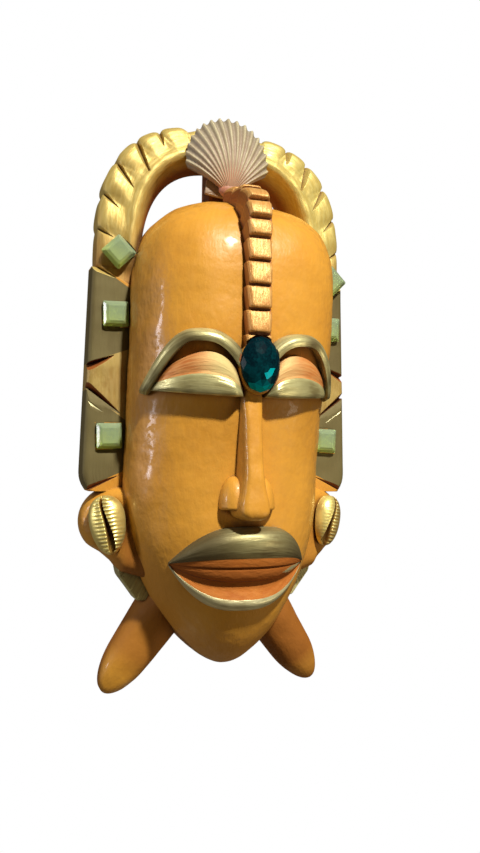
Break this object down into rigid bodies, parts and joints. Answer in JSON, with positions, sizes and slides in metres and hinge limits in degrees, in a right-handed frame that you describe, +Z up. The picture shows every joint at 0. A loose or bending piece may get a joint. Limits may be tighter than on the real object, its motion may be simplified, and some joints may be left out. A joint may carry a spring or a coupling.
{
  "type": "carved wooden wall mask",
  "caption": "Tall carved and painted wooden wall mask with closed eyes, a leafy arch, splayed legs, glued glass gems, cowries and a scallop shell.",
  "frame": {"origin": "hanging point on the flat back of the arch, at the top centre", "axes": "+Z up along the mask, +Y square out of the flat back into the wall, the face looks along -Y, +X to the viewer's right"},
  "size_m": [0.1304, 0.0707, 0.2704],
  "materials": {
    "painted_wood": "brushed ochre, gold, bronze and copper paint under satin varnish, over carved wood",
    "pale_green_glass": "clear pale green faceted glass",
    "teal_glass": "deep teal faceted glass",
    "gilded_shell": "cowrie shell wiped with gold paint",
    "pink_shell": "natural pinkish grey scallop shell, satin"
  },
  "bodies": {
    "root": {"carved_mask": "painted_wood", "square_gem_left_top": "pale_green_glass", "square_gem_left_upper": "pale_green_glass", "square_gem_left_lower": "pale_green_glass", "square_gem_right_top": "pale_green_glass", "square_gem_right_upper": "pale_green_glass", "square_gem_right_lower": "pale_green_glass", "cowrie_left": "gilded_shell", "cowrie_right": "gilded_shell", "oval_gem": "teal_glass", "scallop_shell": "pink_shell"}
  },
  "joints": []
}
